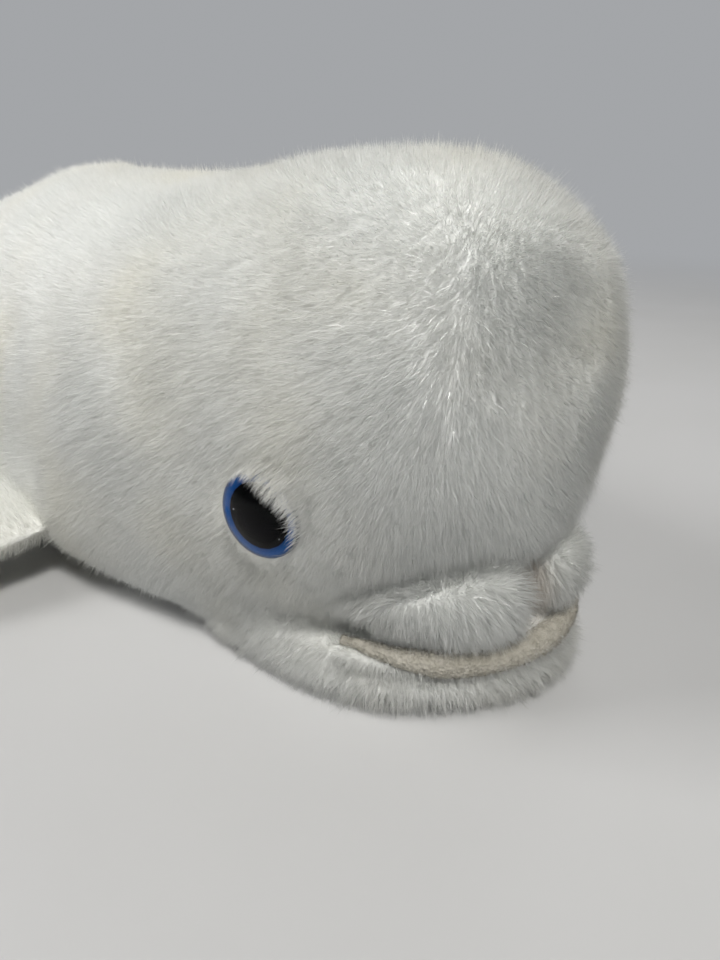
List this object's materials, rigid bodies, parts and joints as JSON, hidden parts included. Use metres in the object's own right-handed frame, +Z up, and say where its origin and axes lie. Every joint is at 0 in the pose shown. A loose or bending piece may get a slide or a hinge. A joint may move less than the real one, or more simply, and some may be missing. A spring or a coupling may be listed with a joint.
{
  "type": "plush whale",
  "caption": "Soft white toy whale with a round melon, blue eyes and a puffed closed mouth, which lies on its flat belly; flippers, tail and flukes bend at their seams.",
  "frame": {"origin": "middle of the bounding box's footprint, on the surface that the belly rests on", "axes": "+X towards the nose, +Y towards the whale's left, +Z up"},
  "size_m": [0.4305, 0.2926, 0.1066],
  "materials": {
    "fur": "long white pile",
    "lining": "short cream pile",
    "wadding": "loose white fibre",
    "eye_clear": "polished clear",
    "iris": "gloss",
    "eye_black": "gloss",
    "washer": "as moulded"
  },
  "bodies": {
    "body": {"crown_panel": "fur", "cheek_panel_right": "fur", "cheek_panel_left": "fur", "throat_panel": "fur", "trunk_side_right": "fur", "trunk_side_left": "fur", "belly_panel": "fur", "dorsal_ridge": "fur", "lower_jaw": "fur", "upper_lip_right": "fur", "upper_lip_left": "fur", "mouth_lining": "lining", "head_filling": "wadding", "trunk_filling": "wadding", "eye_dome_right": "eye_clear", "iris_right": "iris", "eye_stem_right": "eye_black", "eye_washer_right": "washer", "eye_dome_left": "eye_clear", "iris_left": "iris", "eye_stem_left": "eye_black", "eye_washer_left": "washer"},
    "tail": {"tail_skin": "fur", "tail_filling": "wadding"},
    "flukes": {"fluke_panel_top": "fur", "fluke_panel_bottom": "fur", "fluke_filling": "wadding"},
    "flipper_right": {"flipper_right_panel_top": "fur", "flipper_right_panel_bottom": "fur", "flipper_right_filling": "wadding"},
    "flipper_left": {"flipper_left_panel_top": "fur", "flipper_left_panel_bottom": "fur", "flipper_left_filling": "wadding"}
  },
  "joints": [
    {"name": "tail_bend", "type": "hinge", "parent": "body", "child": "tail", "pos_m": [-0.105, 0, 0.039], "axis": [0, 1, 0], "range_deg": [-8, 25], "stiffness_Nm_per_rad": 0.5},
    {"name": "fluke_bend", "type": "hinge", "parent": "tail", "child": "flukes", "pos_m": [-0.1723, 0, 0.026], "axis": [0, 1, 0], "range_deg": [-20, 30], "stiffness_Nm_per_rad": 0.08},
    {"name": "flipper_right_fold", "type": "hinge", "parent": "body", "child": "flipper_right", "pos_m": [0.08089, -0.06174, 0.01705], "axis": [-0.9997, 0.0257, 0], "range_deg": [-3, 50], "stiffness_Nm_per_rad": 0.06},
    {"name": "flipper_left_fold", "type": "hinge", "parent": "body", "child": "flipper_left", "pos_m": [0.08089, 0.06174, 0.01705], "axis": [0.9997, 0.0257, 0], "range_deg": [-3, 50], "stiffness_Nm_per_rad": 0.06}
  ]
}
